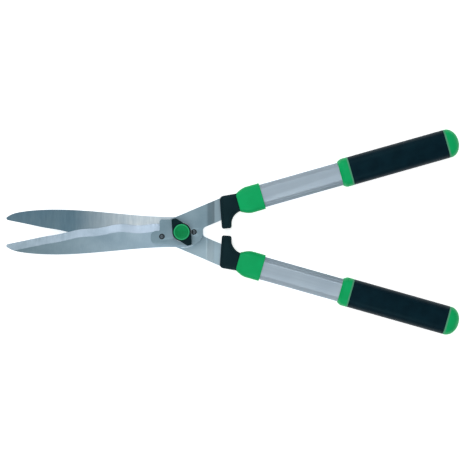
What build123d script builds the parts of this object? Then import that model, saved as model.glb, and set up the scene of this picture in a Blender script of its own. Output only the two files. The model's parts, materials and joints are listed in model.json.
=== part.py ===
from build123d import *
import math
import os

os.makedirs("parts", exist_ok=True)

# Hedge shears: two like halves that cross on one pivot bolt, drawn together by a wing nut.
# The origin is on the pivot axis, at the level of the surface that the shears lie on. The blades
# point to -X, the handles to +X, and +Z is up, along the pivot. The front half has its blade below
# the X axis and its handle above it. The back half is the same parts turned half a turn about X.

# ---- pivot and plate thicknesses (mm) ----
bolt_head_height = 6.4        # the hex head stands on the surface
bolt_head_across = 17.0       # across the flats
arm_thickness = 3.5
blade_thickness = 3.0
shear_gap = 0.1               # between the two blades' inner faces
pivot_diameter = 10.0         # shoulder of the bolt
pivot_flat_depth = 1.0        # two flats this deep lock the bolt in the back arm
running_fit = 0.05            # radial clearance of everything that turns on the bolt
thread_diameter = 8.0

shear_z = bolt_head_height + arm_thickness + blade_thickness + shear_gap / 2
blade_base = shear_z + shear_gap / 2
blade_top = blade_base + blade_thickness
arm_top = blade_top + arm_thickness

# ---- blade ----
blade_length = 219.8          # pivot axis to tip
edge_at_pivot = 5.05          # the mean line of the cutting edge is a cubic from pivot to tip
edge_rise = 40.8
edge_fall = 100.3
edge_ease = 39.2
wave_length = 51.0            # the edge is ground in long shallow waves
wave_height = 1.4
wave_crest = -28.5
wave_fade_length = 140.0      # the waves fade out over this length
wave_fade_end = 20.0          # and are gone this far short of the tip
tip_radius = 2.35
tip_half_angle = 74.4         # where the tip's round meets the two edges, from the -X direction
edge_end = -16.0              # the cutting edge runs in under the arm to here
spine_points = [(0.969, -22.2), (0.91, -25.4), (0.81, -27.6), (0.692, -28.1),
                (0.455, -25.0), (0.273, -21.3), (0.064, -18.9)]    # (share of the length, y)
heel_centre = (3.4, 0.4)
heel_radius = 19.3
edge_land = 0.4               # blunt height left at the cutting edge
bevel_width = 9.8
bevel_end = -22.0             # the bevel stops here, under the arm
hollow_radius = 150.0         # the inner face is hollow ground with a large wheel
hollow_depth = 0.35
hollow_start = (-44.0, -5.6)
hollow_end = (13.8 - blade_length, -17.6)

# ---- arm ----
arm_width = 26.0
arm_angle = 23.05             # outer edge of the arm, from the X axis
arm_edge_height = 22.05       # where that edge crosses the Y axis
upper_finger_end = -27.7      # the arm holds the blade with two stepped fingers
lower_finger_end = -38.6
finger_step = 1.4
upper_finger_top = 15.7
lower_finger_bottom = -14.4
heel_flat_end = (7.0, -16.75)
heel_arc_point = (20.5, -12.6)
heel_corner = (26.5, 0.5)
crotch_radius = 5.0
crank_start = 31.0            # the arm is cranked down to the middle of the handle
crank_end = 40.0
crank_bend = 3.0              # inside radius of the two bends
tang_width = 16.0

# ---- rivets that join blade and arm ----
rivet_places = [(-24.8, -5.6), (15.2, 0.1)]
rivet_diameter = 4.6
rivet_head_diameter = 7.0
rivet_head_depth = 1.2
rivet_recess_diameter = 6.4
rivet_recess_depth = 0.8
rivet_flush = 0.1             # how far the rivet's ends stay below the faces

# ---- handle line: distances u along it start where it crosses the Y axis ----
handle_height = 16.6
handle_angle = 15.8
handle_length = 359.5         # to the end of the grip

# ---- aluminium tube, a flattened octagon with a bead and a groove on its inner side ----
tube_width = 29.2
tube_thickness = 16.0
tube_flat = 17.6
tube_side = 7.0
tube_wall = 1.5
bead_place = tube_flat / 2 - 1.0
bead_radius = 0.6
bead_sink = 0.25
groove_place = tube_flat / 2 + 2.0
groove_radius = 0.55

# ---- collar at the front of the tube ----
collar_start = 73.0
collar_length = 31.5
collar_nose_length = 15.0
collar_nose_width = 23.6
collar_nose_thickness = 19.0
collar_side_wall = 2.2
collar_face_wall = 3.0
collar_corner = 5.0
tube_seat = 11.0              # from the collar's nose to the front end of the tube
collar_width = tube_width + 2 * collar_side_wall
collar_thickness = tube_thickness + 2 * collar_face_wall
collar_end = collar_start + collar_length
tube_start = collar_start + tube_seat

# ---- bumper ----
bumper_left = 47.0
bumper_cover = 2.95           # rubber over the arm's outer edge
stop_angle = 4.5              # each bumper's stop face lies this far from the middle
stop_inner = 50.0
stop_outer = 62.25
bumper_thickness = 16.0
bumper_round = 1.4
bumper_inner_radius = 12.0
spigot_length = 7.0
spigot_wall = 2.3             # collar wall beside the spigot
spigot_thickness = 11.0
spigot_width = collar_nose_width - 2 * spigot_wall
neck_top = collar_nose_width / 2 + 0.2
neck_bottom = 1.0 - collar_nose_width / 2
wide_end = bumper_left + 7.0  # the arm's full width ends inside the bumper
tang_start = collar_start - 11.0

# ---- plug and pin that hold the tang in the tube ----
plug_length = 44.0
pin_inset = 11.0              # from the tube's front end
pin_diameter = 4.0
plug_end = tube_start + plug_length
tang_end = plug_end + 2.0
pin_place = tube_start + pin_inset

# ---- grip, measured back from the end of the handle ----
dome_length = 16.0
cover_length = 123.9
ring_length = 13.6
ring_nose_length = 6.0
tube_end_gap = 5.5            # from the tube's end to the dome's start
sleeve_wall = 1.5             # green plastic between tube and cover
cover_side_wall = 1.9
cover_face_wall = 2.4
grip_width = tube_width + 2 * (sleeve_wall + cover_side_wall)
grip_thickness = 2 * shear_z  # so that the grips rest on the surface too
grip_corner = 11.0
ring_proud = 0.2              # the ring's sides stand this much outside the cover
ring_sink = 0.2               # and its faces lie this much below it
cover_end = handle_length - dome_length
ring_end = cover_end - cover_length
ring_start = ring_end - ring_length
tube_end = cover_end - tube_end_gap
ring_nose_width = tube_width + 1.8
ring_nose_thickness = tube_thickness + 2.6

# ---- washers and wing nut ----
front_washer_diameter = 24.0
front_washer_thickness = 1.2
spring_washer_diameter = 14.8
spring_washer_thickness = 1.6
spring_washer_gap = 1.0
washer_bore = 8.4
nut_across = 13.0
nut_height = 6.5
knob_gap = 0.3                # between the knob and the washer
knob_diameter = 23.0
knob_floor = 1.0              # plastic between nut and cap
knob_rim = 1.1
cap_diameter = 19.8
cap_height = 2.4
cap_rim = 1.6
cap_dish = 0.7
wing_height = 6.2
wing_points = [(-11.5, 0.0), (-12.7, 15.6), (-7.3, 17.2), (2.4, 11.2)]
wing_tip_radius = 2.0

washer_base = arm_top + running_fit
washer_top = washer_base + front_washer_thickness
nut_base = washer_top + spring_washer_thickness + running_fit
nut_top = nut_base + nut_height
knob_base = washer_top + knob_gap
cap_base = nut_top + knob_floor
knob_top = cap_base + knob_rim


# ---- helpers for places ----
def edge_line(x):
    """Mean line of the cutting edge at x."""
    s = -x / blade_length
    return edge_at_pivot + edge_rise * s - edge_fall * s**2 + edge_ease * s**3


def edge_y(x):
    """The cutting edge at x, with its waves."""
    fade = (x + blade_length - wave_fade_end) / wave_fade_length
    fade = max(0.0, min(1.0, fade))
    return edge_line(x) + wave_height * fade * math.cos(2 * math.pi * (x - wave_crest) / wave_length)


def edge_stations(first, last):
    """Places along the blade, eight or more to each wave."""
    steps = math.ceil((last - first) * 8 / wave_length)
    return [first + (last - first) * i / steps for i in range(steps + 1)]


def handle_point(u, v=0.0):
    """The point u along the handle line and v outward from it."""
    cos_a = math.cos(math.radians(handle_angle))
    sin_a = math.sin(math.radians(handle_angle))
    return (u * cos_a - v * sin_a, handle_height + u * sin_a + v * cos_a)


def handle_section(u):
    """Plane across the handle at u: its x is outward, its y is up, and its normal is along the handle."""
    cos_a = math.cos(math.radians(handle_angle))
    sin_a = math.sin(math.radians(handle_angle))
    x, y = handle_point(u)
    return Plane(origin=(x, y, shear_z), x_dir=(-sin_a, cos_a, 0), z_dir=(cos_a, sin_a, 0))


def arm_edge_y(x):
    """Outer edge of the arm at x."""
    return arm_edge_height + x * math.tan(math.radians(arm_angle))


def arm_inner_y(x):
    """Inner edge of the arm at x."""
    return arm_edge_y(x) - arm_width / math.cos(math.radians(arm_angle))


def stop_point(radius_x):
    """A point of the bumper's stop face, which points at the pivot."""
    return (radius_x, radius_x * math.tan(math.radians(stop_angle)))


def along_handle(stations):
    """A straight-sided solid through rounded rectangles: (place, width, thickness, corner radius)."""
    sections = [handle_section(u) * RectangleRounded(w, t, r) for u, w, t, r in stations]
    return loft(sections, ruled=True)


def swelling(start, full, narrow, wide, steps=5):
    """Widths that swell from narrow to wide in a quarter of a sine, as pairs of place and width."""
    pairs = []
    for i in range(steps + 1):
        t = i / steps
        pairs.append((start + t * (full - start), narrow + (wide - narrow) * math.sin(t * math.pi / 2)))
    return pairs


def vertical_hole(place, diameter, bottom, top):
    """A round cutter at place."""
    return Pos(place[0], place[1], bottom) * extrude(Circle(diameter / 2), top - bottom)


def fixed_side(part):
    """The same piece on the back half: half a turn about X."""
    return part.rotate(Axis((0, 0, shear_z), (1, 0, 0)), 180)


# ---- blade ----
def blade_outline():
    tip_x = -blade_length + tip_radius
    angle = math.radians(tip_half_angle)
    upper_x = tip_x - tip_radius * math.cos(angle)
    upper = (upper_x, edge_y(upper_x))
    centre_y = upper[1] - tip_radius * math.sin(angle)
    lower = (upper_x, centre_y - tip_radius * math.sin(angle))
    edge = Spline(*[(x, edge_y(x)) for x in edge_stations(upper_x, edge_end)])
    spine = Spline(lower, *[(-share * blade_length, y) for share, y in spine_points])
    tip = ThreePointArc(upper, (-blade_length, centre_y), lower)
    heel_low = (heel_centre[0], heel_centre[1] - heel_radius)
    heel_top = (heel_centre[0], edge_y(edge_end))
    closing = Polyline(tuple(spine @ 1), heel_low, heel_top, (edge_end, edge_y(edge_end)))
    outline = make_face([edge, tip, spine, closing])
    return outline + Pos(*heel_centre) * Circle(heel_radius)


def bevel_cutter():
    slope = (blade_thickness - edge_land) / bevel_width
    beyond = 1.0
    above = 1.0
    sections = []
    for x in edge_stations(-blade_length - beyond, bevel_end):
        y = edge_y(x)
        points = [(y + beyond, blade_base + edge_land - beyond * slope),
                  (y + beyond, blade_top + above),
                  (y - bevel_width - above / slope, blade_top + above)]
        across = Plane(origin=(x, 0, 0), x_dir=(0, 1, 0), z_dir=(1, 0, 0))
        sections.append(across * Polygon(*points, align=None))
    return loft(sections)


def hollow_cutter():
    start = Vector(hollow_start[0], hollow_start[1], blade_base + hollow_depth - hollow_radius)
    end = Vector(hollow_end[0], hollow_end[1], blade_base - hollow_radius)
    axis = end - start
    wheel = Plane(origin=start, z_dir=axis) * Circle(hollow_radius)
    return extrude(wheel, axis.length)


def blade():
    body = Pos(0, 0, blade_base) * extrude(blade_outline(), blade_thickness)
    body -= bevel_cutter()
    body -= hollow_cutter()
    body -= vertical_hole((0, 0), pivot_diameter + 2 * running_fit, blade_base - 1, blade_top + 1)
    for place in rivet_places:
        body -= rivet(place)
    return body


# ---- rivets ----
def rivet(place):
    """A rivet with a flush countersunk head against the blade's inner face."""
    base = blade_base + rivet_flush
    head = Pos(place[0], place[1], base + rivet_head_depth / 2)
    head *= Cone(rivet_head_diameter / 2, rivet_diameter / 2, rivet_head_depth)
    shank = vertical_hole(place, rivet_diameter, base, arm_top - rivet_flush)
    return head + shank


def rivet_well(place):
    """The open recess round the rivet's outer end."""
    return vertical_hole(place, rivet_recess_diameter, arm_top - rivet_recess_depth, arm_top + 1)


# ---- arm ----
def arm_outline():
    corner_x = (upper_finger_top - arm_edge_height) / math.tan(math.radians(arm_angle))
    low_wide_x = wide_end - 2.0
    left = [(upper_finger_end, finger_step),
            (upper_finger_end, upper_finger_top),
            (corner_x, upper_finger_top),
            (wide_end, arm_edge_y(wide_end)),
            handle_point(tang_start, tang_width / 2),
            handle_point(tang_end, tang_width / 2),
            handle_point(tang_end, -tang_width / 2),
            handle_point(tang_start, -tang_width / 2),
            (low_wide_x, arm_inner_y(low_wide_x)),
            (heel_corner[0], arm_inner_y(heel_corner[0])),
            heel_corner]
    edges = [Polyline(*left), ThreePointArc(heel_corner, heel_arc_point, heel_flat_end)]
    edges.append(Polyline(heel_flat_end, (lower_finger_end, lower_finger_bottom),
                          (lower_finger_end, finger_step), (upper_finger_end, finger_step)))
    return make_face(edges)


def round_corner(face, place, radius):
    """The face with its corner at place rounded."""
    corner = face.vertices().sort_by_distance((place[0], place[1], 0))[0]
    return fillet(corner, radius)


def rounded_arm_outline():
    face = arm_outline()
    face = round_corner(face, (heel_corner[0], arm_inner_y(heel_corner[0])), crotch_radius)
    face = round_corner(face, (lower_finger_end, lower_finger_bottom), 6.0)
    face = round_corner(face, (lower_finger_end, finger_step), 6.5)
    face = round_corner(face, (upper_finger_end, upper_finger_top), 3.0)
    face = round_corner(face, (upper_finger_end, finger_step), 1.2)
    return face


def crank_profile():
    """Side view of the arm: flat on the blade, then cranked down to the shear plane's level."""
    low = shear_z - arm_thickness / 2
    drop = blade_top - low
    slope = math.atan2(drop, crank_end - crank_start)
    shift = arm_thickness * math.tan(slope / 2)
    far = 3 * blade_length
    points = [(-far, blade_top), (crank_start, blade_top), (crank_end, low), (far, low),
              (far, low + arm_thickness), (crank_end + shift, low + arm_thickness),
              (crank_start + shift, blade_top + arm_thickness), (-far, blade_top + arm_thickness)]
    face = make_face(Polyline(*points, close=True))
    outer = crank_bend + arm_thickness
    face = round_corner(face, points[1], crank_bend)
    face = round_corner(face, points[6], outer)
    face = round_corner(face, points[2], outer)
    face = round_corner(face, points[5], crank_bend)
    return face


def arm_blank():
    plate = extrude(rounded_arm_outline(), 4 * shear_z)
    side = Plane.XZ * crank_profile()
    return plate & extrude(side, 3 * blade_length, both=True)


def arm(pivot_hole):
    body = arm_blank()
    body -= pivot_hole
    for place in rivet_places:
        body -= rivet(place)
        body -= rivet_well(place)
    body -= tang_pin()
    return body


def round_pivot_hole():
    return vertical_hole((0, 0), pivot_diameter + 2 * running_fit, blade_top - 1, arm_top + 1)


def flatted_round(clearance):
    """Section of the bolt's neck, or of its hole: a round with two flats."""
    across = pivot_diameter - 2 * pivot_flat_depth + 2 * clearance
    return Circle(pivot_diameter / 2 + clearance) & Rectangle(across, 2 * pivot_diameter)


def locking_pivot_hole():
    """A round hole with two flats, which stops the bolt from turning."""
    shape = flatted_round(running_fit)
    return Pos(0, 0, blade_top - 1) * extrude(shape, arm_thickness + 2)


# ---- tube, plug and pin ----
def tube_section():
    half_w = tube_width / 2
    half_t = tube_thickness / 2
    flat = tube_flat / 2
    side = tube_side / 2
    corners = [(flat, half_t), (half_w, side), (half_w, -side), (flat, -half_t),
               (-flat, -half_t), (-half_w, -side), (-half_w, side), (-flat, half_t)]
    return make_face(Polyline(*corners, close=True))


def tube_outer_section():
    face = tube_section()
    slope = (tube_thickness - tube_side) / (tube_width - tube_flat)
    groove_z = tube_thickness / 2 - (groove_place - tube_flat / 2) * slope
    for side in (1, -1):
        face += Pos(-bead_place, side * (tube_thickness / 2 - bead_sink)) * Circle(bead_radius)
        face -= Pos(-groove_place, side * groove_z) * Circle(groove_radius)
    return face


def tube_inner_section():
    return offset(tube_section(), -tube_wall, kind=Kind.INTERSECTION)


def tube_blank(start):
    return extrude(handle_section(start) * tube_outer_section(), tube_end - start)


def tube():
    body = tube_blank(tube_start)
    body -= extrude(handle_section(tube_start - 1) * tube_inner_section(), tube_end - tube_start + 2)
    return body - tang_pin()


def tang_plug():
    body = extrude(handle_section(tube_start) * tube_inner_section(), plug_end - tube_start)
    return body - arm_blank() - tang_pin()


def tang_pin():
    x, y = handle_point(pin_place)
    return vertical_hole((x, y), pin_diameter, shear_z - tube_thickness / 2, shear_z + tube_thickness / 2)


# ---- bumper and collar ----
def bumper_outline():
    upper_left = (bumper_left, arm_edge_y(bumper_left) + bumper_cover)
    neck_upper = handle_point(collar_start, neck_top)
    neck_lower = handle_point(collar_start, neck_bottom)
    back = (neck_lower[0] - stop_outer) * math.tan(math.radians(handle_angle))
    inner_corner = (stop_outer, neck_lower[1] - back)
    points = [upper_left, neck_upper, neck_lower, inner_corner,
              stop_point(stop_outer), stop_point(stop_inner)]
    face = make_face(Polyline(*points, close=True))
    face = round_corner(face, inner_corner, bumper_inner_radius)
    face = round_corner(face, upper_left, 2.5)
    face = round_corner(face, stop_point(stop_outer), 0.8)
    return round_corner(face, stop_point(stop_inner), 0.8)


def spigot():
    """The bumper's neck, which plugs into the collar."""
    shape = RectangleRounded(spigot_width, spigot_thickness, 3.0)
    return extrude(handle_section(collar_start) * shape, spigot_length)


def bumper():
    block = extrude(bumper_outline(), bumper_thickness)
    rims = block.faces().sort_by(Axis.Z)[0].edges() + block.faces().sort_by(Axis.Z)[-1].edges()
    block = fillet(rims, bumper_round)
    block = Pos(0, 0, shear_z - bumper_thickness / 2) * block
    return block + spigot() - arm_blank()


def collar():
    full = collar_start + collar_nose_length
    widths = swelling(collar_start, full, collar_nose_width, collar_width)
    heights = swelling(collar_start, full, collar_nose_thickness, collar_thickness)
    stations = [(w[0], w[1], h[1], collar_corner) for w, h in zip(widths, heights)]
    stations.append((collar_end, collar_width, collar_thickness, collar_corner))
    return along_handle(stations) - tube_blank(tube_start) - spigot() - arm_blank()


# ---- grip ----
def sleeve_section():
    width = grip_width - 2 * cover_side_wall
    thickness = grip_thickness - 2 * cover_face_wall
    return RectangleRounded(width, thickness, grip_corner - cover_face_wall)


def grip_ring():
    width = grip_width + 2 * ring_proud
    thickness = grip_thickness - 2 * ring_sink
    full = ring_start + ring_nose_length
    widths = swelling(ring_start, full, ring_nose_width, width)
    heights = swelling(ring_start, full, ring_nose_thickness, thickness)
    roundness = grip_corner / grip_thickness
    stations = [(w[0], w[1], h[1], roundness * h[1]) for w, h in zip(widths, heights)]
    stations.append((ring_end, width, thickness, roundness * thickness))
    return along_handle(stations)


def grip_dome():
    """The domed end: each section shrinks as the sections of a ball do, down to a small flat."""
    stations = []
    last_angle = 86.0
    steps = 8
    for i in range(steps + 1):
        angle = math.radians(last_angle * i / steps)
        size = math.cos(angle)
        u = cover_end + dome_length * math.sin(angle) / math.sin(math.radians(last_angle))
        stations.append((u, grip_width * size, grip_thickness * size, grip_corner * size))
    return along_handle(stations)


def grip_core():
    """Green moulding: ring, sleeve under the cover, and domed end cap."""
    sleeve = extrude(handle_section(ring_end) * sleeve_section(), cover_end - ring_end)
    return grip_ring() + sleeve + grip_dome() - tube_blank(ring_start - 1)


def grip_cover():
    """Soft black cover over the sleeve."""
    shape = RectangleRounded(grip_width, grip_thickness, grip_corner)
    shape -= sleeve_section()
    return extrude(handle_section(ring_end) * shape, cover_end - ring_end)


# ---- pivot bolt, washers and wing nut ----
def pivot_bolt():
    hexagon = RegularPolygon(bolt_head_across / 2, 6, major_radius=False)
    head = extrude(hexagon, bolt_head_height)
    head = chamfer(head.faces().sort_by(Axis.Z)[0].edges(), 0.8)
    neck = Pos(0, 0, bolt_head_height) * extrude(flatted_round(0.0), arm_thickness)
    shoulder = vertical_hole((0, 0), pivot_diameter, bolt_head_height + arm_thickness, arm_top)
    end = vertical_hole((0, 0), thread_diameter, arm_top, nut_top)
    end = chamfer(end.faces().sort_by(Axis.Z)[-1].edges(), 0.7)
    return head + neck + shoulder + end


def front_washer():
    ring = Circle(front_washer_diameter / 2) - Circle(washer_bore / 2)
    return Pos(0, 0, washer_base) * extrude(ring, front_washer_thickness)


def spring_washer():
    ring = Circle(spring_washer_diameter / 2) - Circle(washer_bore / 2)
    split = Pos(spring_washer_diameter / 2, 0) * Rectangle(spring_washer_diameter, spring_washer_gap)
    ring -= split
    return Pos(0, 0, washer_top) * extrude(ring, spring_washer_thickness)


def nut_insert():
    hexagon = RegularPolygon(nut_across / 2, 6, major_radius=False)
    hexagon -= Circle(thread_diameter / 2 + running_fit)
    return Pos(0, 0, nut_base) * extrude(hexagon, nut_height)


def wing():
    face = make_face(Polyline(*wing_points, close=True))
    face = round_corner(face, wing_points[1], wing_tip_radius)
    face = round_corner(face, wing_points[2], wing_tip_radius)
    return Pos(0, 0, knob_top - wing_height) * extrude(face, wing_height - 0.6)


def knob_body():
    """Black wing nut: a round hub with two wings, moulded round the steel nut."""
    hub = vertical_hole((0, 0), knob_diameter, knob_base, knob_top)
    hub = chamfer(hub.faces().sort_by(Axis.Z)[-1].edges(), 0.5)
    body = hub + wing() + wing().rotate(Axis.Z, 180)
    hexagon = RegularPolygon(nut_across / 2, 6, major_radius=False)
    body -= Pos(0, 0, nut_base) * extrude(hexagon, nut_height)
    washer_well = spring_washer_diameter + 1.0
    body -= vertical_hole((0, 0), washer_well, knob_base - 1, nut_base)
    body -= vertical_hole((0, 0), cap_diameter, cap_base, knob_top + 1)
    return body


def knob_cap():
    """Green cap pressed into the hub, dished, with a plain cross pressed in its middle."""
    disc = vertical_hole((0, 0), cap_diameter, cap_base, cap_base + cap_height)
    disc = fillet(disc.faces().sort_by(Axis.Z)[-1].edges(), 0.6)
    dish_floor = cap_base + cap_height - cap_dish
    disc -= vertical_hole((0, 0), cap_diameter - 2 * cap_rim, dish_floor, dish_floor + 5)
    bar = Pos(0, 0, dish_floor - 0.4) * extrude(Rectangle(10.0, 1.8), 2.0)
    return disc - bar - bar.rotate(Axis.Z, 90)


# ---- build every node ----
nodes = {}
for side in ("front", "back"):
    hole = round_pivot_hole() if side == "front" else locking_pivot_hole()
    pieces = {
        "blade": blade(),
        "arm": arm(hole),
        "arm_rivets": Compound([rivet(place).solids()[0] for place in rivet_places]),
        "bumper": bumper(),
        "collar": collar(),
        "tube": tube(),
        "tang_plug": tang_plug(),
        "tang_pin": tang_pin(),
        "grip_core": grip_core(),
        "grip_cover": grip_cover(),
    }
    for name, piece in pieces.items():
        nodes[side + "_" + name] = piece if side == "front" else fixed_side(piece)

nodes["pivot_bolt"] = pivot_bolt()
nodes["front_washer"] = front_washer()
nodes["spring_washer"] = spring_washer()
nodes["nut_insert"] = nut_insert()
nodes["knob_body"] = knob_body()
nodes["knob_cap"] = knob_cap()

for name, piece in nodes.items():
    export_step(piece, "parts/" + name + ".step")
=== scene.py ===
import bmesh
import bpy
import json
import math
from mathutils import Matrix, Vector


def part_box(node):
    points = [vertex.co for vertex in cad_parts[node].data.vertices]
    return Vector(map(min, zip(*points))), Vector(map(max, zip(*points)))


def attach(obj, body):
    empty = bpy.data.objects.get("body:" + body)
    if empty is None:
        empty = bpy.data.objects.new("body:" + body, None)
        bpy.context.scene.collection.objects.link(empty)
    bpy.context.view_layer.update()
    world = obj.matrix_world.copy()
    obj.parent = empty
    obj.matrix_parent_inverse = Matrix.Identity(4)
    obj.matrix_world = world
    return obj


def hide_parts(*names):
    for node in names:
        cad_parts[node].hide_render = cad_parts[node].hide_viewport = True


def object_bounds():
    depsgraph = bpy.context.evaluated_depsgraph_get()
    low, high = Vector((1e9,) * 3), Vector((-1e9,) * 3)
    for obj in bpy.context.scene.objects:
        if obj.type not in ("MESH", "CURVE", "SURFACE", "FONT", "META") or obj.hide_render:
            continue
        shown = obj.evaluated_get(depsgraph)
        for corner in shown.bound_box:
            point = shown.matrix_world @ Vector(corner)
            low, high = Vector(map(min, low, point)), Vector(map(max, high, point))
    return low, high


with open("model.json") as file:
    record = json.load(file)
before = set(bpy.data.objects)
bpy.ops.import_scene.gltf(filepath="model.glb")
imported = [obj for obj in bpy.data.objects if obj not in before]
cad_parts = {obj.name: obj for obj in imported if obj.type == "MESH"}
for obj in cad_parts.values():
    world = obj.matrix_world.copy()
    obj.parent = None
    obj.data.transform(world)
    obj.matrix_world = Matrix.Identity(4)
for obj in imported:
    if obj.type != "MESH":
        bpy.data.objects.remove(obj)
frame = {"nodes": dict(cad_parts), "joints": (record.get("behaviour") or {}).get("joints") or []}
cad_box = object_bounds()


# ---- Table top, lamps and camera -------------------------------------------------------------
# The shears lie on a plain pale table top, under a wide overhead lamp and two smaller ones, and
# are seen from straight above with a long lens, so that perspective hardly shows.
def soft_lamp(name, place, aim, size, power, mirrored=True):
    """A round soft lamp aimed at a point. One that isn't mirrored never shows in a gloss."""
    lamp = bpy.data.lights.new(name, "AREA")
    lamp.shape = "DISK"
    lamp.size = size
    lamp.energy = power
    holder = bpy.data.objects.new(name, lamp)
    holder.location = place
    holder.rotation_euler = (Vector(aim) - Vector(place)).to_track_quat("-Z", "Y").to_euler()
    holder.visible_glossy = mirrored
    bpy.context.scene.collection.objects.link(holder)


table_radius = 14.0
table_gap = 0.0002      # keeps the table's face clear of the pieces that rest on it
table_glow = 0.62       # lifts the table to an even white


def plain_table_top():
    """A white table top, see-through from below so that the tool's underside can be looked at."""
    finish = bpy.data.materials.new("table_top")
    finish.use_nodes = True
    shader = finish.node_tree.nodes["Principled BSDF"]
    shader.inputs["Base Color"].default_value = (0.93, 0.93, 0.93, 1)
    shader.inputs["Roughness"].default_value = 0.9
    shader.inputs["Specular IOR Level"].default_value = 0.1
    shader.inputs["Emission Color"].default_value = (1, 1, 1, 1)
    shader.inputs["Emission Strength"].default_value = table_glow
    under_side = finish.node_tree.nodes.new("ShaderNodeNewGeometry")
    seen_from_above = finish.node_tree.nodes.new("ShaderNodeMath")
    seen_from_above.operation = "SUBTRACT"
    seen_from_above.inputs[0].default_value = 1.0
    finish.node_tree.links.new(under_side.outputs["Backfacing"], seen_from_above.inputs[1])
    finish.node_tree.links.new(seen_from_above.outputs["Value"], shader.inputs["Alpha"])
    surface = bmesh.new()
    bmesh.ops.create_circle(surface, cap_ends=True, segments=96, radius=table_radius)
    bmesh.ops.translate(surface, vec=(0, 0, -table_gap), verts=surface.verts)
    mesh = bpy.data.meshes.new("table_top")
    surface.to_mesh(mesh)
    surface.free()
    mesh.materials.append(finish)
    table_top = bpy.data.objects.new("table_top", mesh)
    bpy.context.scene.collection.objects.link(table_top)


middle = (cad_box[0] + cad_box[1]) / 2
view_width = 0.5875
camera_height = 3.0
camera_side_step = Vector((0.003, -0.0037, 0))
lens = bpy.data.cameras.new("camera")
lens.lens = lens.sensor_width * camera_height / view_width
camera = bpy.data.objects.new("camera", lens)
camera.location = Vector((middle.x, middle.y, middle.z + camera_height)) + camera_side_step
bpy.context.scene.collection.objects.link(camera)
bpy.context.scene.camera = camera

plain_table_top()
soft_lamp("overhead_lamp", (-0.3, 0.5, 2.3), middle, 1.8, 12.0, mirrored=False)
soft_lamp("large_lamp", (-0.5, 1.35, 1.65), middle, 1.2, 8.5)
soft_lamp("small_lamp", (-0.1, -1.3, 1.6), middle, 0.8, 8.0)

light_from_walls = 0.22
light_from_ceiling = 0.66
white_of_walls = 1.05
studio = bpy.data.worlds.new("studio")
studio.use_nodes = True
sky = studio.node_tree
height = sky.nodes.new("ShaderNodeSeparateXYZ")
sky.links.new(sky.nodes.new("ShaderNodeTexCoord").outputs["Generated"], height.inputs["Vector"])
overhead = sky.nodes.new("ShaderNodeMapRange")
overhead.inputs["To Min"].default_value = light_from_walls
overhead.inputs["To Max"].default_value = light_from_ceiling
sky.links.new(height.outputs["Z"], overhead.inputs["Value"])
white_wall = sky.nodes.new("ShaderNodeMix")
white_wall.inputs["B"].default_value = white_of_walls
sky.links.new(sky.nodes.new("ShaderNodeLightPath").outputs["Is Camera Ray"], white_wall.inputs["Factor"])
sky.links.new(overhead.outputs["Result"], white_wall.inputs["A"])
sky.links.new(white_wall.outputs["Result"], sky.nodes["Background"].inputs["Strength"])
sky.nodes["Background"].inputs["Color"].default_value = (0.95, 0.98, 1.0, 1)
bpy.context.scene.world = studio
bpy.context.scene.view_settings.view_transform = "Standard"


# ---- Blades ----------------------------------------------------------------------------------
# Each blade is a 3 mm strip of hardened tool steel. Its body is left with a fine speckled
# satin, the wide bevel along the waved edge is ground bright, and the inner face is hollow
# ground across its width with a large wheel, so the grinding lines run from spine to edge.
def effect_group(name, inputs, outputs):
    """An empty shader node group, with its input and output nodes."""
    group = bpy.data.node_groups.new(name, "ShaderNodeTree")
    for label, kind, value in inputs:
        socket = group.interface.new_socket(label, in_out="INPUT", socket_type=kind)
        if value is not None:
            socket.default_value = value
    for label, kind in outputs:
        group.interface.new_socket(label, in_out="OUTPUT", socket_type=kind)
    return group, group.nodes.new("NodeGroupInput"), group.nodes.new("NodeGroupOutput")


def tool_lines_group():
    """Fine lines left by a wheel, a die or a mould: noise drawn out along one direction."""
    group, given, result = effect_group(
        "tool_lines",
        [("Vector", "NodeSocketVector", None), ("Pitch", "NodeSocketVector", (1000, 40, 40))],
        [("Lines", "NodeSocketFloat")],
    )
    stretch = group.nodes.new("ShaderNodeVectorMath")
    stretch.operation = "MULTIPLY"
    noise = group.nodes.new("ShaderNodeTexNoise")
    noise.inputs["Scale"].default_value = 1.0
    noise.inputs["Detail"].default_value = 3.0
    noise.inputs["Roughness"].default_value = 0.65
    contrast = group.nodes.new("ShaderNodeMapRange")
    contrast.inputs["From Min"].default_value = 0.3
    contrast.inputs["From Max"].default_value = 0.7
    link = group.links.new
    link(given.outputs["Vector"], stretch.inputs[0])
    link(given.outputs["Pitch"], stretch.inputs[1])
    link(stretch.outputs["Vector"], noise.inputs["Vector"])
    link(noise.outputs["Fac"], contrast.inputs["Value"])
    link(contrast.outputs["Result"], result.inputs["Lines"])
    return group


def mottle_group():
    """Soft patches and a fine speckle, as on any real surface that has been handled."""
    group, given, result = effect_group(
        "mottle",
        [("Vector", "NodeSocketVector", None), ("Patch Scale", "NodeSocketFloat", 60.0),
         ("Speckle Scale", "NodeSocketFloat", 900.0)],
        [("Patches", "NodeSocketFloat"), ("Speckle", "NodeSocketFloat")],
    )
    link = group.links.new
    for label, low, high, detail in (("Patches", 0.35, 0.65, 2.0), ("Speckle", 0.3, 0.7, 4.0)):
        noise = group.nodes.new("ShaderNodeTexNoise")
        noise.inputs["Detail"].default_value = detail
        contrast = group.nodes.new("ShaderNodeMapRange")
        contrast.inputs["From Min"].default_value = low
        contrast.inputs["From Max"].default_value = high
        scale = "Patch Scale" if label == "Patches" else "Speckle Scale"
        link(given.outputs["Vector"], noise.inputs["Vector"])
        link(given.outputs[scale], noise.inputs["Scale"])
        link(noise.outputs["Fac"], contrast.inputs["Value"])
        link(contrast.outputs["Result"], result.inputs[label])
    return group


tool_lines = tool_lines_group()
mottle = mottle_group()


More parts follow.
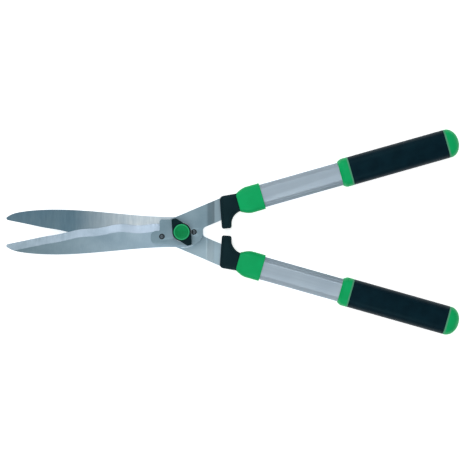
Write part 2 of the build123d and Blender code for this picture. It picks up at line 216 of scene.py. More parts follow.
def new_material(name):
    """A material with its node tree, links and main shader at hand."""
    finish = bpy.data.materials.new(name)
    finish.use_nodes = True
    tree = finish.node_tree
    return finish, tree, tree.nodes["Principled BSDF"]


def place_group(tree, group, vector, **values):
    """Puts an effect group in a material, fed with a coordinate and its own values."""
    node = tree.nodes.new("ShaderNodeGroup")
    node.node_tree = group
    tree.links.new(vector, node.inputs["Vector"])
    for label, value in values.items():
        node.inputs[label.replace("_", " ")].default_value = value
    return node


def blend_colours(tree, factor, low, high):
    """A colour that goes from low to high with a factor. Either may be a colour or a socket."""
    node = tree.nodes.new("ShaderNodeMix")
    node.data_type = "RGBA"
    tree.links.new(factor, node.inputs["Factor"])
    for label, colour in (("A", low), ("B", high)):
        socket = [s for s in node.inputs if s.name == label and s.type == "RGBA"][0]
        if isinstance(colour, tuple):
            socket.default_value = (*colour, 1)
        else:
            tree.links.new(colour, socket)
    return [s for s in node.outputs if s.type == "RGBA"][0]


def spread(tree, value, low, high, start=0.0, end=1.0):
    """A value carried from the range start..end to low..high."""
    node = tree.nodes.new("ShaderNodeMapRange")
    node.inputs["From Min"].default_value = start
    node.inputs["From Max"].default_value = end
    node.inputs["To Min"].default_value = low
    node.inputs["To Max"].default_value = high
    tree.links.new(value, node.inputs["Value"])
    return node.outputs["Result"]


def raise_surface(tree, shader, height, strength, depth):
    """Small relief from a height."""
    bump = tree.nodes.new("ShaderNodeBump")
    bump.inputs["Strength"].default_value = strength
    bump.inputs["Distance"].default_value = depth
    tree.links.new(height, bump.inputs["Height"])
    tree.links.new(bump.outputs["Normal"], shader.inputs["Normal"])


def object_place(tree):
    """The piece's own coordinates, for materials."""
    return tree.nodes.new("ShaderNodeTexCoord").outputs["Object"]


def steel(name, dark, light, roughness, pitch, line_depth, patch_scale=45.0):
    """Bare steel: patches and speckle in its tone, lines in its polish and relief."""
    finish, tree, shader = new_material(name)
    place = object_place(tree)
    lines = place_group(tree, tool_lines, place, Pitch=pitch)
    cloud = place_group(tree, mottle, place, Patch_Scale=patch_scale, Speckle_Scale=1100.0)
    toned = blend_colours(tree, cloud.outputs["Patches"], dark, light)
    speckled = blend_colours(tree, spread(tree, cloud.outputs["Speckle"], 0.0, 0.35), toned, light)
    lined = blend_colours(tree, spread(tree, lines.outputs["Lines"], 0.0, 0.3), speckled, dark)
    tree.links.new(lined, shader.inputs["Base Color"])
    tree.links.new(spread(tree, lines.outputs["Lines"], roughness - 0.06, roughness + 0.08),
                   shader.inputs["Roughness"])
    shader.inputs["Metallic"].default_value = 1.0
    raise_surface(tree, shader, lines.outputs["Lines"], 0.5, line_depth)
    return finish, tree, shader, lined


def paint_shade_toward_tip(tree, toned, painted_tip_shade, tip_end, bright_end):
    """Multiplies a tone by a painted shade that fades out from the tip towards the pivot."""
    split = tree.nodes.new("ShaderNodeSeparateXYZ")
    tree.links.new(object_place(tree), split.inputs["Vector"])
    painted_shade_share = spread(tree, split.outputs["X"], 1.0, 0.0, start=tip_end, end=bright_end)
    shade = tree.nodes.new("ShaderNodeMix")
    shade.data_type = "RGBA"
    shade.blend_type = "MULTIPLY"
    colour_in = [s for s in shade.inputs if s.type == "RGBA"]
    colour_in[1].default_value = (*painted_tip_shade, 1)
    tree.links.new(painted_shade_share, shade.inputs["Factor"])
    tree.links.new(toned, colour_in[0])
    return [s for s in shade.outputs if s.type == "RGBA"][0]


def hollow_ground_steel():
    """The inner face: broad wheel streaks over a painted reflection, bright at the heel, with painted
    shade darkening it to the tip.
    """
    # The pale base colours are a painted reflection, kept bright at the heel.
    finish, tree, shader, lined = steel("hollow_ground_steel", (0.74, 0.86, 0.94), (0.92, 0.98, 1.0),
                                        0.34, (1500, 25, 25), 0.00002)
    streaks = place_group(tree, tool_lines, object_place(tree), Pitch=(300, 45, 45))
    streak_share = spread(tree, streaks.outputs["Lines"], 0.0, 0.38)
    streaked = blend_colours(tree, streak_share, lined, (0.40, 0.52, 0.60))
    # Painted shade towards the tip, much darker than on the blade body.
    shaded = paint_shade_toward_tip(tree, streaked, (0.215, 0.31, 0.36), tip_end=-0.135, bright_end=-0.055)
    tree.links.new(shaded, shader.inputs["Base Color"])
    return finish


def satin_steel(name, dark, light, painted_tip_shade, roughness, pitch):
    """Satin steel with painted shade, which darkens it a little towards the tip."""
    finish, tree, shader, lined = steel(name, dark, light, roughness, pitch, 0.000015)
    shaded = paint_shade_toward_tip(tree, lined, painted_tip_shade, tip_end=-0.19, bright_end=-0.035)
    tree.links.new(shaded, shader.inputs["Base Color"])
    return finish


# The third colour of each is its painted shade at the tip.
blade_satin = satin_steel("blade_satin", (0.36, 0.50, 0.60), (0.50, 0.65, 0.75), (0.52, 0.56, 0.55),
                          0.42, (900, 160, 160))
bevel_bright = satin_steel("bevel_bright", (0.37, 0.465, 0.56), (0.48, 0.575, 0.69), (0.62, 0.65, 0.63),
                           0.42, (1300, 60, 60))
hollow_ground = hollow_ground_steel()


same_point = 1e-6           # points nearer than this are one point
sliver_width = 1e-7         # faces thinner than this are dropped
flat_within = math.radians(0.4)


def solid_copy(node):
    """The CAD piece as one closed shell of whole flat faces."""
    shell = bmesh.new()
    shell.from_mesh(frame["nodes"][node].data)
    bmesh.ops.remove_doubles(shell, verts=shell.verts, dist=same_point)
    bmesh.ops.dissolve_limit(shell, angle_limit=flat_within, verts=shell.verts, edges=shell.edges)
    return shell


def round_edges(shell, edges, width, segments=2):
    """Rounds some edges by a width, and gives back the new faces."""
    made = bmesh.ops.bevel(shell, geom=edges, offset=width, offset_type="OFFSET", affect="EDGES",
                           segments=segments, profile=0.5, material=-1, clamp_overlap=True)
    return made["faces"]


def break_edges(shell, width, sharper_than):
    """Rounds every edge that turns by more than an angle, as a deburred edge is."""
    corner = math.radians(sharper_than)
    edges = [e for e in shell.edges if e.is_manifold and e.calc_face_angle(0.0) > corner]
    return round_edges(shell, edges, width)


def finish_piece(name, shell, materials, body, stands_for, smooth_below):
    """Makes the shell a piece that rides on its body and stands for its CAD node."""
    bmesh.ops.dissolve_degenerate(shell, dist=sliver_width, edges=shell.edges)
    mesh = bpy.data.meshes.new(name)
    shell.to_mesh(mesh)
    shell.free()
    mesh.shade_smooth()
    mesh.set_sharp_from_angle(angle=math.radians(smooth_below))
    for finish in materials:
        mesh.materials.append(finish)
    piece = bpy.data.objects.new(name, mesh)
    bpy.context.scene.collection.objects.link(piece)
    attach(piece, body)
    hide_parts(stands_for)


halves = {"front": 1.0, "back": -1.0}     # which way up each half's outer face is
blade_edge_break = 0.00015
bevel_least_rise = 0.9      # how far a face's normal points outward: the bevel leans a little
bevel_most_rise = 0.985
inner_face_rise = -0.95
for half, outward in halves.items():
    node = half + "_blade"
    shell = solid_copy(node)
    break_edges(shell, blade_edge_break, sharper_than=40.0)
    for face in shell.faces:
        rise = face.normal.z * outward
        if bevel_least_rise < rise < bevel_most_rise:
            face.material_index = 1
        elif rise < inner_face_rise:
            face.material_index = 2
    finish_piece(node + "_ground", shell, [blade_satin, bevel_bright, hollow_ground],
                 half + "_half", node, smooth_below=12.0)


# ---- Arms ------------------------------------------------------------------------------------
# Each arm is blanked from 3.5 mm strip, cranked down behind the pivot and left with the mill's
# own long grain. It lies on the blade's outer face, and its rivet holes are countersunk from
# outside, with the wells coloured dark as painted shade.
def arm_steel():
    """Strip steel with painted sheen: lighter past the crank and on the back arm's handle side, with a
    painted highlight on the back arm's bend.
    """
    finish, tree, shader, toned = steel("arm_strip_steel", (0.24, 0.355, 0.42), (0.345, 0.475, 0.545),
                                        0.40, (60, 700, 400), 0.00002, 30.0)
    split = tree.nodes.new("ShaderNodeSeparateXYZ")
    tree.links.new(object_place(tree), split.inputs["Vector"])
    # Painted sheen: a lighter band past the crank.
    sheen_past_crank = spread(tree, split.outputs["X"], 0.0, 0.5, start=0.036, end=0.041)
    paler = blend_colours(tree, sheen_past_crank, toned, (0.42, 0.54, 0.60))
    # Painted sheen: the handle side of the back arm is made lighter.
    sheen_on_handle_side = spread(tree, split.outputs["Y"], 0.85, 0.0, start=-0.024, end=-0.012)
    with_side_sheen = blend_colours(tree, sheen_on_handle_side, paler, (0.47, 0.62, 0.70))
    # Painted highlight on the back arm's bend, limited to the crank.
    highlight_on_bend = spread(tree, split.outputs["X"], 0.0, 1.0, start=0.0298, end=0.0312)
    out_of_crank = spread(tree, split.outputs["X"], 1.0, 0.0, start=0.0384, end=0.0400)
    on_back_arm = spread(tree, split.outputs["Y"], 0.9, 0.0, start=-0.010, end=-0.004)
    for limit in (out_of_crank, on_back_arm):
        both = tree.nodes.new("ShaderNodeMath")
        both.operation = "MULTIPLY"
        tree.links.new(highlight_on_bend, both.inputs[0])
        tree.links.new(limit, both.inputs[1])
        highlight_on_bend = both.outputs["Value"]
    lightened = blend_colours(tree, highlight_on_bend, with_side_sheen, (0.66, 0.83, 0.91))
    tree.links.new(lightened, shader.inputs["Base Color"])
    return finish


def well_painted_shade_steel():
    """The wells round the rivets: painted shade, dark and dull, with a gritty speckle."""
    finish, tree, shader = new_material("rivet_well_painted_shade")
    cloud = place_group(tree, mottle, object_place(tree), Patch_Scale=700.0, Speckle_Scale=3000.0)
    painted_shade_tone = blend_colours(tree, cloud.outputs["Patches"], (0.012, 0.018, 0.022), (0.035, 0.045, 0.05))
    tree.links.new(painted_shade_tone, shader.inputs["Base Color"])
    tree.links.new(spread(tree, cloud.outputs["Speckle"], 0.5, 0.8), shader.inputs["Roughness"])
    raise_surface(tree, shader, cloud.outputs["Speckle"], 0.4, 0.00002)
    shader.inputs["Metallic"].default_value = 0.6
    return finish


def well_places(half, outward):
    """The middles of an arm's two rivet wells, seen along the pivot."""
    lowest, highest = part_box(half + "_arm_rivets")
    near_spine = lowest.y + rivet_head_radius
    near_edge = highest.y - rivet_head_radius
    if outward < 0:
        near_spine, near_edge = near_edge, near_spine
    return [Vector((lowest.x + rivet_head_radius, near_spine)),
            Vector((highest.x - rivet_head_radius, near_edge))]


def near_any(point, places, reach):
    """Whether a point lies within reach of any of some places in plan."""
    return min((point.xy - place).length for place in places) < reach


def edge_middle(edge):
    """The point halfway along an edge."""
    return (edge.verts[0].co + edge.verts[1].co) / 2


arm_finishes = [
    arm_steel(),
    well_painted_shade_steel(),
    # Worn edges: the bright steel is real wear and also a painted highlight along the lower finger's
    # edge.
    steel("worn_edge_and_highlight", (0.55, 0.66, 0.74), (0.80, 0.88, 0.94), 0.32, (200, 200, 900), 0.00001, 90.0)[0],
]
arm_edge_break = 0.0004
rivet_head_radius = 0.0035
well_radius = 0.0043
countersink = 0.0009
low_edge_round = 0.0013      # the lower finger's long edge is rounded over
low_edge_line = -0.0139      # that edge lies outside this line
low_edge_end = 0.007
same_level = 1e-5
level_rise = 0.99
broad_face = 0.0001          # level faces larger than this are the plate's own sides
for half, outward in halves.items():
    node = half + "_arm"
    shell = solid_copy(node)
    wells = well_places(half, outward)
    outer_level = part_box(node)[1].z if outward > 0 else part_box(node)[0].z
    rims = []
    for edge in shell.edges:
        middle_point = edge_middle(edge)
        if near_any(middle_point, wells, well_radius) and abs(middle_point.z - outer_level) < same_level:
            rims.append(edge)
    round_edges(shell, rims, countersink)
    low_edges = []
    for edge in shell.edges:
        middle_point = edge_middle(edge)
        on_outer_face = max(abs(v.co.z - outer_level) for v in edge.verts) < same_level
        outside_line = middle_point.y * outward < low_edge_line
        if on_outer_face and outside_line and middle_point.x < low_edge_end:
            low_edges.append(edge)
    rounded = round_edges(shell, low_edges, low_edge_round, segments=4)
    worn_and_highlit = set(break_edges(shell, arm_edge_break, sharper_than=40.0))
    worn_and_highlit |= {face for face in rounded if face.is_valid}
    for face in shell.faces:
        on_plate_side = abs(face.normal.z) > level_rise and face.calc_area() > broad_face
        # Faces in the wells get the painted shade.
        if near_any(face.calc_center_median(), wells, well_radius) and not on_plate_side:
            face.material_index = 1
        # Broken edges and the rounded finger edge get the bright steel, as wear and painted highlight.
        elif face in worn_and_highlit:
            face.material_index = 2
    finish_piece(node + "_strip", shell, arm_finishes, half + "_half", node,
                 smooth_below=20.0)


# ---- Rivets ----------------------------------------------------------------------------------
# Two steel rivets hold each arm on its blade. Their ends are struck flat and rounded at the rim,
# and stay dull inside the wells.
rivet_end = steel("rivet_end", (0.07, 0.095, 0.115), (0.17, 0.21, 0.24), 0.42, (500, 500, 500),
                  0.00001, 500.0)[0]
rivet_rim = 0.0009
for half in halves:
    node = half + "_arm_rivets"
    shell = solid_copy(node)
    break_edges(shell, rivet_rim, sharper_than=40.0)
    finish_piece(node + "_struck", shell, [rivet_end], half + "_half", node,
                 smooth_below=30.0)


# ---- Pivot bolt and washers ------------------------------------------------------------------
# A hex bolt carries both halves. Its head is under the tool and its thread comes up through a
# flat washer and a spring washer. All three are zinc plated, with the cloudy look plating has.
def plated_steel():
    """Zinc plate: cloudy patches in tone and polish, with a fine speckle."""
    finish, tree, shader = new_material("zinc_plate")
    cloud = place_group(tree, mottle, object_place(tree), Patch_Scale=260.0, Speckle_Scale=2600.0)
    cloudy = blend_colours(tree, cloud.outputs["Patches"], (0.34, 0.39, 0.43), (0.48, 0.52, 0.55))
    speckle_share = spread(tree, cloud.outputs["Speckle"], 0.0, 0.3)
    speckled = blend_colours(tree, speckle_share, cloudy, (0.32, 0.36, 0.38))
    tree.links.new(speckled, shader.inputs["Base Color"])
    tree.links.new(spread(tree, cloud.outputs["Patches"], 0.30, 0.46), shader.inputs["Roughness"])
    raise_surface(tree, shader, cloud.outputs["Speckle"], 0.3, 0.00001)
    shader.inputs["Metallic"].default_value = 1.0
    return finish


def keep_shape(node, finish):
    """Gives a piece that keeps its own shape its material."""
    materials = frame["nodes"][node].data.materials
    materials.clear()
    materials.append(finish)


zinc_plate = plated_steel()
plated_edge_breaks = {"pivot_bolt": 0.0004, "front_washer": 0.00025, "spring_washer": 0.0002}
for node, width in plated_edge_breaks.items():
    shell = solid_copy(node)
    break_edges(shell, width, sharper_than=35.0)
    finish_piece(node + "_plated", shell, [zinc_plate], "back_half", node,
                 smooth_below=32.0)
keep_shape("nut_insert", zinc_plate)


# ---- Collars ---------------------------------------------------------------------------------
# The collar is a hard green nylon moulding over the tube's front end, which swells from a narrow
# nose for the bumper's neck to a square-shouldered socket. Like tube and grip it is made along X
# and then laid on the handle's own line.
shear_height = frame["joints"][0]["pos_m"][2]
pin_middle = sum(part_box("front_tang_pin"), Vector()) / 2
tube_middle = sum(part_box("front_tube"), Vector()) / 2
handle_angle = math.atan2(tube_middle.y - pin_middle.y, tube_middle.x - pin_middle.x)
handle_foot = Vector((0, pin_middle.y - pin_middle.x * math.tan(handle_angle), shear_height))
on_front = Matrix.Translation(handle_foot) @ Matrix.Rotation(handle_angle, 4, "Z")
turned_over = (Matrix.Translation((0, 0, shear_height)) @ Matrix.Rotation(math.pi, 4, "X")
               @ Matrix.Translation((0, 0, -shear_height)))
on_handle = {"front": on_front, "back": turned_over @ on_front}


def first_place(node, width):
    """Where a piece begins along the handle, from its box and its width there."""
    return (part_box(node)[0].x + width / 2 * math.sin(handle_angle)) / math.cos(handle_angle)


def last_place(node, width):
    """Where a piece ends along the handle, from its box and its width there."""
    return (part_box(node)[1].x - width / 2 * math.sin(handle_angle)) / math.cos(handle_angle)


def lay_on_handle(shell, half):
    """Stores each point's place along the handle, for marks that follow it, then tilts the piece."""
    layer = shell.verts.layers.float_vector.new("along_handle")
    for vert in shell.verts:
        vert[layer] = vert.co
    bmesh.ops.transform(shell, matrix=on_handle[half], verts=shell.verts)


def handle_place(tree):
    """The stored place along the handle, as a coordinate for materials."""
    node = tree.nodes.new("ShaderNodeAttribute")
    node.attribute_name = "along_handle"
    return node.outputs["Vector"]


cool_gloss = (0.42, 0.92, 1.0, 1)


def moulded_plastic(name, colour, shade, roughness, place_of, specular, grain_depth=0.00003):
    """Coloured plastic: cloudy tone, fine moulded grain and a soft, uneven gloss."""
    finish, tree, shader = new_material(name)
    cloud = place_group(tree, mottle, place_of(tree), Patch_Scale=70.0, Speckle_Scale=1800.0)
    toned = blend_colours(tree, cloud.outputs["Patches"], colour, shade)
    speckled = blend_colours(tree, spread(tree, cloud.outputs["Speckle"], 0.0, 0.25), toned, shade)
    tree.links.new(speckled, shader.inputs["Base Color"])
    tree.links.new(spread(tree, cloud.outputs["Speckle"], roughness - 0.05, roughness + 0.08),
                   shader.inputs["Roughness"])
    shader.inputs["Specular IOR Level"].default_value = specular
    shader.inputs["Specular Tint"].default_value = cool_gloss
    raise_surface(tree, shader, cloud.outputs["Speckle"], 0.35, grain_depth)
    return finish


green_nylon = moulded_plastic("green_nylon", (0.003, 0.39, 0.112), (0.003, 0.35, 0.098), 0.42,
                              handle_place, 0.2)


def rounded_section(shell, u, width, thickness, corner, steps):
    """A face across the handle at u: a rectangle with rounded corners."""
    made = bmesh.ops.create_grid(shell, x_segments=1, y_segments=1, size=0.5)
    bmesh.ops.scale(shell, vec=(width, thickness, 1), verts=made["verts"])
    made = bmesh.ops.bevel(shell, geom=made["verts"], offset=corner, offset_type="OFFSET",
                           affect="VERTICES", segments=steps, profile=0.5, material=-1)
    face = max((f for v in made["verts"] for f in v.link_faces), key=lambda f: f.calc_area())
    across = Matrix(((0, 0, 1), (1, 0, 0), (0, 1, 0))).to_4x4()
    bmesh.ops.transform(shell, matrix=Matrix.Translation((u, 0, 0)) @ across, verts=face.verts)
    return face


def grow_section(shell, face, now, then):
    """Carries a section on along the handle: now and then are (u, width, thickness)."""
    made = bmesh.ops.extrude_face_region(shell, geom=[face])
    new_face = [f for f in made["geom"] if isinstance(f, bmesh.types.BMFace)][0]
    verts = list(new_face.verts)
    bmesh.ops.scale(shell, vec=(1, then[1] / now[1], then[2] / now[2]), verts=verts)
    bmesh.ops.translate(shell, vec=(then[0] - now[0], 0, 0), verts=verts)
    if any(len(edge.link_faces) > 2 for edge in face.edges):
        bmesh.ops.delete(shell, geom=[face], context="FACES_ONLY")
    return new_face


def straight_moulding(stations, corner, steps=8):
    """A closed shell through rounded sections, each (u, width, thickness)."""
    shell = bmesh.new()
    start = rounded_section(shell, *stations[0], corner, steps)
    end = start
    for now, then in zip(stations, stations[1:]):
        end = grow_section(shell, end, now, then)
    bmesh.ops.recalc_face_normals(shell, faces=shell.faces)
    return shell, end


def rounding(u_edge, radius, width, thickness, facing, steps=4):
    """Sections of a rounded end rim: facing is 1 at a piece's far end and -1 at its near end."""
    rim = []
    for i in range(steps + 1):
        turn = i / steps * math.pi / 2
        drawn_in = 2 * radius * (1 - math.cos(turn))
        u = u_edge - facing * radius * (1 - math.sin(turn))
        rim.append((u, width - drawn_in, thickness - drawn_in))
    return rim if facing > 0 else rim[::-1]


def swell(start, full, narrow, wide, steps=10):
    """Sections that swell from narrow to wide in a quarter of a sine wave."""
    sections = []
    for i in range(steps + 1):
        grown = math.sin(i / steps * math.pi / 2)
        width = narrow[0] + (wide[0] - narrow[0]) * grown
        thickness = narrow[1] + (wide[1] - narrow[1]) * grown
        sections.append((start + i / steps * (full - start), width, thickness))
    return sections


collar_size = (0.0336, 0.022)
collar_nose = (0.0236, 0.019)
collar_nose_length = 0.015
collar_corner = 0.005
rim_radius = 0.0007
nose_chamfer_length = rim_radius * 0.6
socket_wall = 0.0015
socket_depth = 0.0022
collar_start = first_place("front_collar", collar_nose[0])
collar_end = last_place("front_collar", collar_size[0])
for half in halves:
    stations = [(collar_start, collar_nose[0] - 2 * rim_radius, collar_nose[1] - 2 * rim_radius)]
    stations += swell(collar_start + nose_chamfer_length, collar_start + collar_nose_length,
                      collar_nose, collar_size)
    stations += rounding(collar_end, rim_radius, *collar_size, facing=1)
    shell, socket = straight_moulding(stations, collar_corner)
    bmesh.ops.inset_region(shell, faces=[socket], thickness=socket_wall, depth=0.0)
    grow_section(shell, socket, (collar_end, 1, 1), (collar_end - socket_depth, 1, 1))
    lay_on_handle(shell, half)
    node = half + "_collar"
    finish_piece(node + "_moulding", shell, [green_nylon], half + "_half", node,
                 smooth_below=35.0)


# ---- Bumpers ---------------------------------------------------------------------------------
# A black rubber block is pressed over each arm where it enters the collar. The two blocks meet
# when the shears close, and soften the blow. Each has round rims and a low raised panel on both
# broad faces.
soft_black = moulded_plastic("bumper_rubber", (0.0008, 0.0060, 0.0095), (0.0018, 0.0090, 0.0130), 0.42,
                             object_place, 0.25, 0.00004)
block_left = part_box("front_bumper")[0].x
block_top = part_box("front_bumper")[1].y
top_slope = 0.151             # how steeply the outer edge climbs towards the collar
stop_near = 0.050
stop_far = 0.06225
stop_slope = math.tan(math.radians(4.5))      # each stop face lies this far from the middle
neck_in_collar = 0.003        # how far the neck runs on into the collar
neck_end = collar_start + neck_in_collar
neck_out = 0.0116
neck_in = -0.0108
inner_bend = 0.012
block_thickness = 0.016
block_rim = 0.0020
block_corners = (0.0042, 0.0005, 0.0005, inner_bend, 0.0024, 0.0024)
panel_margin = 0.0028
panel_rise = 0.0010
panel_rim = panel_rise * 0.9
panel_corners = (0.0030, 0.0035, 0.0035, inner_bend + panel_margin, 0.0022, 0.0022)
arc_step = 0.0012             # a round corner has about one facet for each such length of radius


def block_face(shell, margin):
    """The block's outline in plan, drawn in by a margin, with sharp corners."""
    neck_high = on_front @ Vector((neck_end, neck_out, 0))
    neck_low = on_front @ Vector((neck_end, neck_in, 0))
    outer_corner = (block_left, block_top - (neck_high.x - block_left) * top_slope)
    bend = (stop_far, neck_low.y - (neck_low.x - stop_far) * math.tan(handle_angle))
    corners = [outer_corner, neck_high.xy, neck_low.xy, bend,
               (stop_far, stop_far * stop_slope), (stop_near, stop_near * stop_slope)]
    verts = [shell.verts.new((x, y, 0)) for x, y in corners]
    face = shell.faces.new(verts)
    face.normal_update()
    if margin:
        ring = bmesh.ops.inset_region(shell, faces=[face], thickness=margin, use_boundary=True,
                                       use_even_offset=True)
        bmesh.ops.delete(shell, geom=ring["faces"], context="FACES")
    return face


def round_corners(shell, face, radii):
    """Rounds the corners of a flat face, each by its own radius."""
    corners = [loop.vert for loop in face.loops]
    for corner, radius in zip(corners, radii):
        steps = max(4, round(radius / arc_step))
        bmesh.ops.bevel(shell, geom=[corner], offset=radius, offset_type="OFFSET", affect="VERTICES",
                        segments=steps, profile=0.5, material=-1)
    return max(shell.faces, key=lambda f: f.calc_area())


def block_shell(margin, radii, thickness, rim):
    """The outline as a slab with rounded rims, level with the middle of the handle."""
    shell = bmesh.new()
    face = round_corners(shell, block_face(shell, margin), radii)
    if face.normal.z > 0:
        face.normal_flip()
    made = bmesh.ops.extrude_face_region(shell, geom=[face])
    raised = [v for v in made["geom"] if isinstance(v, bmesh.types.BMVert)]
    bmesh.ops.translate(shell, vec=(0, 0, thickness), verts=raised)
    bmesh.ops.recalc_face_normals(shell, faces=shell.faces)
    rims = [e for e in shell.edges if abs(e.verts[0].co.z - e.verts[1].co.z) < same_point]
    bmesh.ops.bevel(shell, geom=rims, offset=rim, offset_type="OFFSET", affect="EDGES", segments=4,
                    profile=0.5, material=-1)
    bmesh.ops.translate(shell, vec=(0, 0, shear_height - thickness / 2), verts=shell.verts)
    return shell


for half in halves:
    shell = block_shell(0.0, block_corners, block_thickness, block_rim)
    panel = block_shell(panel_margin, panel_corners, block_thickness + 2 * panel_rise, panel_rim)
    panel_mesh = bpy.data.meshes.new("panel")
    panel.to_mesh(panel_mesh)
    panel.free()
    shell.from_mesh(panel_mesh)
    bpy.data.meshes.remove(panel_mesh)
    if half == "back":
        bmesh.ops.transform(shell, matrix=turned_over, verts=shell.verts)
    node = half + "_bumper"
    finish_piece(node + "_block", shell, [soft_black], half + "_half", node,
                 smooth_below=30.0)


# ---- Tang plugs and pins ---------------------------------------------------------------------
# Inside the tube's front end the arm's tang sits in a black plastic plug, held by one steel pin
# whose ends lie under the collar.
plug_black = moulded_plastic("plug_black", (0.004, 0.007, 0.009), (0.008, 0.011, 0.013), 0.55,
                             object_place, 0.3)
for half in halves:
    keep_shape(half + "_tang_plug", plug_black)
    keep_shape(half + "_tang_pin", zinc_plate)


# ---- Tubes -----------------------------------------------------------------------------------
# The handles are extruded aluminium tube, a flattened octagon with a raised bead and a groove
# on its inner side. The die leaves long fine lines, and a clear satin anodising covers them.
def drawn_aluminium():
    """Satin aluminium: fine die lines and broader bands along the tube, under a cloudy tone."""
    finish, tree, shader = new_material("satin_aluminium")
    place = handle_place(tree)
    die_lines = place_group(tree, tool_lines, place, Pitch=(8, 1800, 1800))
    broad_lines = place_group(tree, tool_lines, place, Pitch=(3, 260, 260))
    cloud = place_group(tree, mottle, place, Patch_Scale=24.0, Speckle_Scale=2200.0)
    toned = blend_colours(tree, cloud.outputs["Patches"], (0.48, 0.58, 0.67), (0.55, 0.65, 0.73))
    band_share = spread(tree, broad_lines.outputs["Lines"], 0.0, 0.35)
    banded = blend_colours(tree, band_share, toned, (0.42, 0.51, 0.59))
    line_share = spread(tree, die_lines.outputs["Lines"], 0.0, 0.25)
    lined = blend_colours(tree, line_share, banded, (0.36, 0.44, 0.51))
    tree.links.new(lined, shader.inputs["Base Color"])
    tree.links.new(spread(tree, die_lines.outputs["Lines"], 0.32, 0.44), shader.inputs["Roughness"])
    raise_surface(tree, shader, die_lines.outputs["Lines"], 0.4, 0.00001)
    shader.inputs["Metallic"].default_value = 1.0
    return finish


satin_aluminium = drawn_aluminium()
tube_edge_break = 0.0002
for half in halves:
    node = half + "_tube"
    shell = solid_copy(node)
    break_edges(shell, tube_edge_break, sharper_than=28.0)
    bmesh.ops.transform(shell, matrix=on_handle[half].inverted(), verts=shell.verts)
    lay_on_handle(shell, half)
    finish_piece(node + "_extrusion", shell, [satin_aluminium], half + "_half", node,
                 smooth_below=20.0)


# ---- Grips: green moulding -------------------------------------------------------------------
# Ring, inner sleeve and domed end are one green moulding pushed over the tube. The ring and the
# dome each have a narrow matt band, where the black cover is moulded up against them.
matt_green = moulded_plastic("matt_green_band", (0.06, 0.27, 0.14), (0.09, 0.31, 0.18), 0.6,
                             handle_place, 0.15)
grip_size = (0.036, 0.0259)
grip_corner = 0.011
ring_size = (0.0364, 0.0255)
ring_nose = (0.031, 0.0186)
ring_nose_length = 0.006
ring_corner = grip_corner * ring_nose[1] / grip_size[1]
sleeve_size = (0.0322, 0.0211)
band_width = 0.0019
band_step = 0.0004            # ring and dome draw in by this much where the cover meets them
dome_length = 0.016
ring_start = first_place("front_grip_core", ring_nose[0])
cover_start = first_place("front_grip_cover", grip_size[0])
cover_end = last_place("front_grip_cover", grip_size[0])
last_turn = math.radians(84)


def dome_sections(start, length, size, steps=12):
    """Sections that shrink towards the end as those of a ball do."""
    sections = []
    for i in range(steps + 1):
        turn = last_turn * i / steps
        u = start + length * math.sin(turn) / math.sin(last_turn)
        sections.append((u, size[0] * math.cos(turn), size[1] * math.cos(turn)))
    return sections


for half in halves:
    stations = swell(ring_start, ring_start + ring_nose_length, ring_nose, ring_size)
    stations.append((cover_start - band_width, *ring_size))
    stations.append((cover_start, ring_size[0] - band_step, ring_size[1] - band_step))
    stations.append((cover_start, *sleeve_size))
    stations.append((cover_end, *sleeve_size))
    stations.append((cover_end, grip_size[0] - band_step, grip_size[1] - band_step))
    stations.append((cover_end + band_width, *grip_size))
    stations += dome_sections(cover_end + band_width, dome_length - band_width, grip_size)[1:]
    shell = straight_moulding(stations, ring_corner)[0]
    for face in shell.faces:
        u = face.calc_center_median().x
        reach = max(v.co.x for v in face.verts) - min(v.co.x for v in face.verts)
        at_ring = cover_start - band_width < u < cover_start
        at_dome = cover_end < u < cover_end + band_width
        if reach > same_level and (at_ring or at_dome):
            face.material_index = 1
    lay_on_handle(shell, half)
    node = half + "_grip_core"
    finish_piece(node + "_moulding", shell, [green_nylon, matt_green], half + "_half",
                 node, smooth_below=35.0)


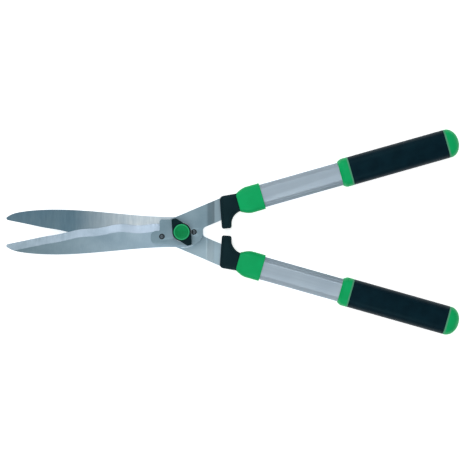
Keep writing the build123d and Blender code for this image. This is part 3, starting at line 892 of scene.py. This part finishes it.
# ---- Grips: soft cover -----------------------------------------------------------------------
# The cover is a sleeve of soft black rubber with rounded ends, moulded over the green sleeve.
# Its surface has a fine stipple and a faintly cloudy tone.
cover_rubber = moulded_plastic("cover_rubber", (0.0003, 0.0062, 0.0125), (0.0010, 0.0105, 0.0185), 0.44,
                               handle_place, 0.12, 0.00006)
cover_rim = 0.0006
for half in halves:
    stations = rounding(cover_start, cover_rim, *grip_size, facing=-1)
    stations += rounding(cover_end, cover_rim, *grip_size, facing=1)
    shell = straight_moulding(stations, grip_corner)[0]
    lay_on_handle(shell, half)
    node = half + "_grip_cover"
    finish_piece(node + "_sleeve", shell, [cover_rubber], half + "_half", node,
                 smooth_below=35.0)


# ---- Wing nut --------------------------------------------------------------------------------
# A black plastic wing nut is moulded round a steel nut, and sets how tightly the blades meet.
# Its two swept wings give the thumb a hold, and a green cap is pressed into its hub.
knob_black = moulded_plastic("knob_black", (0.0010, 0.0060, 0.0095), (0.0020, 0.0090, 0.0130), 0.48,
                             object_place, 0.18, 0.00003)
# The cap's green is darkened as painted shade, and its rim is made lighter as painted highlight.
cap_painted_shade_green = moulded_plastic("cap_painted_shade_green", (0.003, 0.27, 0.075), (0.002, 0.20, 0.050), 0.45,
                            object_place, 0.2)
cap_rim_painted_highlight = moulded_plastic("cap_rim_painted_highlight", (0.03, 0.40, 0.15), (0.02, 0.36, 0.13), 0.4,
                                object_place, 0.25)
knob_edge_break = 0.0005
cap_edge_break = 0.0002
cap_rim_depth = 0.0004        # faces that look up, this near to the cap's top, are its rim
looks_up = 0.2

shell = solid_copy("knob_body")
break_edges(shell, knob_edge_break, sharper_than=40.0)
finish_piece("wing_nut_moulding", shell, [knob_black], "wing_nut", "knob_body",
             smooth_below=35.0)

shell = solid_copy("knob_cap")
break_edges(shell, cap_edge_break, sharper_than=40.0)
top_of_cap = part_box("knob_cap")[1].z
# Faces looking up near the cap's top form the rim, which gets the painted highlight.
for face in shell.faces:
    if face.normal.z > looks_up and face.calc_center_median().z > top_of_cap - cap_rim_depth:
        face.material_index = 1
finish_piece("wing_nut_cap", shell, [cap_painted_shade_green, cap_rim_painted_highlight], "wing_nut", "knob_cap",
             smooth_below=35.0)
